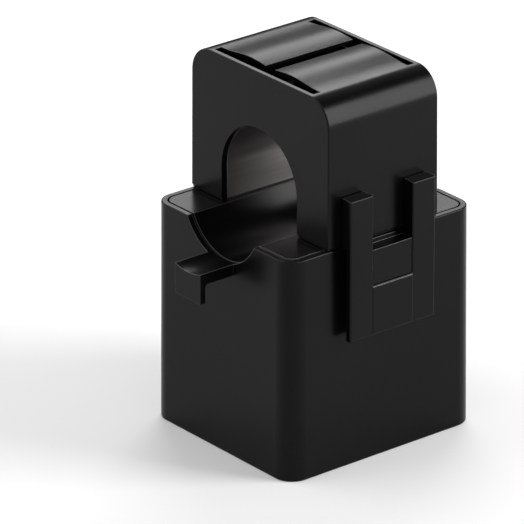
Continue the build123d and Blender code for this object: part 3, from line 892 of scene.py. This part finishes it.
floor_corners = [
    (x * FLOOR_HALF, y * FLOOR_HALF, 0) for x, y in ((-1, -1), (1, -1), (1, 1), (-1, 1))
]
floor = flat_card("floor", floor_corners, "floor_pale", pale_paper)
print("floor:", 2 * FLOOR_HALF, "m wide")

# %% [markdown]
# ## Studio lamps
# Black plastic shows mostly where it mirrors a lamp, and a small lamp would leave only points of
# glare, so all four lamps are large soft boxes. A tall one behind on the right draws the band along
# the round edge of the cap. A smaller one behind on the left lights the roof and the ledges. A weak
# one overhead opens the shadows, and a wide one at the left front fills the faces.

# %% Soft boxes
LAMP_AIM = Vector((0, 0, 45 * MM))


def softbox(name, direction, distance, width, height, watts):
    """A rectangular lamp that faces the object from one direction."""
    lamp = bpy.data.lights.new(name, "AREA")
    lamp.shape = "RECTANGLE"
    lamp.size, lamp.size_y = width, height
    lamp.energy = watts
    holder = bpy.data.objects.new(name, lamp)
    bpy.context.scene.collection.objects.link(holder)
    away = Vector(direction).normalized()
    holder.location = LAMP_AIM + away * distance
    holder.rotation_euler = (-away).to_track_quat("-Z", "Y").to_euler()
    print(name, "gives", watts, "W from", distance, "m")


softbox("key_right_back", (0.66, 0.58, 0.37), distance=0.90, width=0.42, height=0.85, watts=8.6)
softbox("rim_left_back", (-0.62, 0.58, 0.64), distance=0.60, width=0.36, height=0.32, watts=1.57)
softbox("top", (0.0, -0.1, 1.0), distance=0.70, width=0.60, height=0.60, watts=0.6)
softbox("fill_left_front", (-0.60, -0.66, 0.42), distance=1.00, width=1.10, height=0.45, watts=4.6)

# %% [markdown]
# ## Black flags
# In a white room every face mirrors white. Where a face should mirror darkness, a photographer sets
# up black cards, which are called flags. Two stand behind the object here. The high one darkens the
# round edge above its bright band, and the low one the far left edge of the roof. Only mirrored
# rays meet them, so they take no light from the object and cast no shadow.

# %% Flags
FELT = (0.01, 0.01, 0.01, 1)


def black_felt(tree):
    """Dull black felt."""
    return add_node(tree, "ShaderNodeBsdfDiffuse", Color=FELT).outputs[0]


def black_flag(name, low_edge, high_edge, width):
    """A dark card between the middles of two level edges, seen only by mirrored rays."""
    low, high = Vector(low_edge), Vector(high_edge)
    rise = high - low
    across = Vector((rise.y, -rise.x, 0)).normalized() * width / 2
    corners = [low - across, low + across, high + across, high - across]
    flag = flat_card(name, corners, name + "_felt", black_felt)
    flag.visible_camera = False
    flag.visible_diffuse = False
    flag.visible_shadow = False
    print(name, "is", width, "m wide and", round(rise.length, 2), "m high")


black_flag(
    "flag_high_back",
    low_edge=(-0.130, 0.442, 0.324), high_edge=(-0.040, 0.136, 0.564), width=0.46,
)
black_flag(
    "flag_low_left",
    low_edge=(-0.150, 0.125, 0.0), high_edge=(-0.390, 0.320, 0.225), width=0.60,
)

# %% [markdown]
# ## Air
# The air of the studio is the world behind everything. It gives a soft, even light from all sides,
# weak enough for the lamps to lead, and the rays that see the studio find plain white there. A
# large dome of paper would do the same, with one more object to carry.

# %% Air
AIR_LIGHT = 0.35
world = bpy.data.worlds.new("studio")
bpy.context.scene.world = world
world_tree = emptied(world)
world_out = world_tree.nodes.new("ShaderNodeOutputWorld")
air = add_node(world_tree, "ShaderNodeBackground", Color=WHITE, Strength=AIR_LIGHT)
white = add_node(world_tree, "ShaderNodeBackground", Color=WHITE, Strength=1.0)
seen = add_node(world_tree, "ShaderNodeMixShader", Fac=white_studio_rays(world_tree))
world_tree.links.new(air.outputs[0], seen.inputs[1])
world_tree.links.new(white.outputs[0], seen.inputs[2])
world_tree.links.new(seen.outputs[0], world_out.inputs["Surface"])
print("strength of the air:", AIR_LIGHT)

# %% [markdown]
# ## Camera
# The photograph was taken from the front right, about 24 degrees above the object, with a long
# lens from far away, so parallel edges stay nearly parallel. A near camera would spread them. The
# camera is turned by a quaternion, so the small roll of the picture is one more turn about its own
# axis.

# %% Camera
AZIMUTH, ELEVATION, ROLL = 51.01, 23.67, -0.10
AIM = Vector((-5.50, -9.50, 36.67)) * MM
DISTANCE = 1257 * MM
LENS, SENSOR = 412.0, 36.0
NEAR, FAR = 0.05, 50.0

camera_data = bpy.data.cameras.new("camera")
camera_data.lens = LENS
camera_data.sensor_width = SENSOR
camera_data.clip_start, camera_data.clip_end = NEAR, FAR
camera = bpy.data.objects.new("camera", camera_data)
bpy.context.scene.collection.objects.link(camera)
azimuth, elevation = math.radians(AZIMUTH), math.radians(ELEVATION)
back = Vector((
    math.sin(azimuth) * math.cos(elevation),
    -math.cos(azimuth) * math.cos(elevation),
    math.sin(elevation),
))
camera.location = AIM + back * DISTANCE
camera.rotation_mode = "QUATERNION"
level = (-back).to_track_quat("-Z", "Y")
camera.rotation_quaternion = level @ Quaternion((0, 0, 1), math.radians(ROLL))
bpy.context.scene.camera = camera
bpy.context.scene.view_settings.view_transform = "Standard"
print("camera", round(camera.location.length, 3), "m from the middle of the base")

# %% [markdown]
# ## The last update
# The last call brings the scene up to date.

# %% Update the scene
bpy.context.view_layer.update()
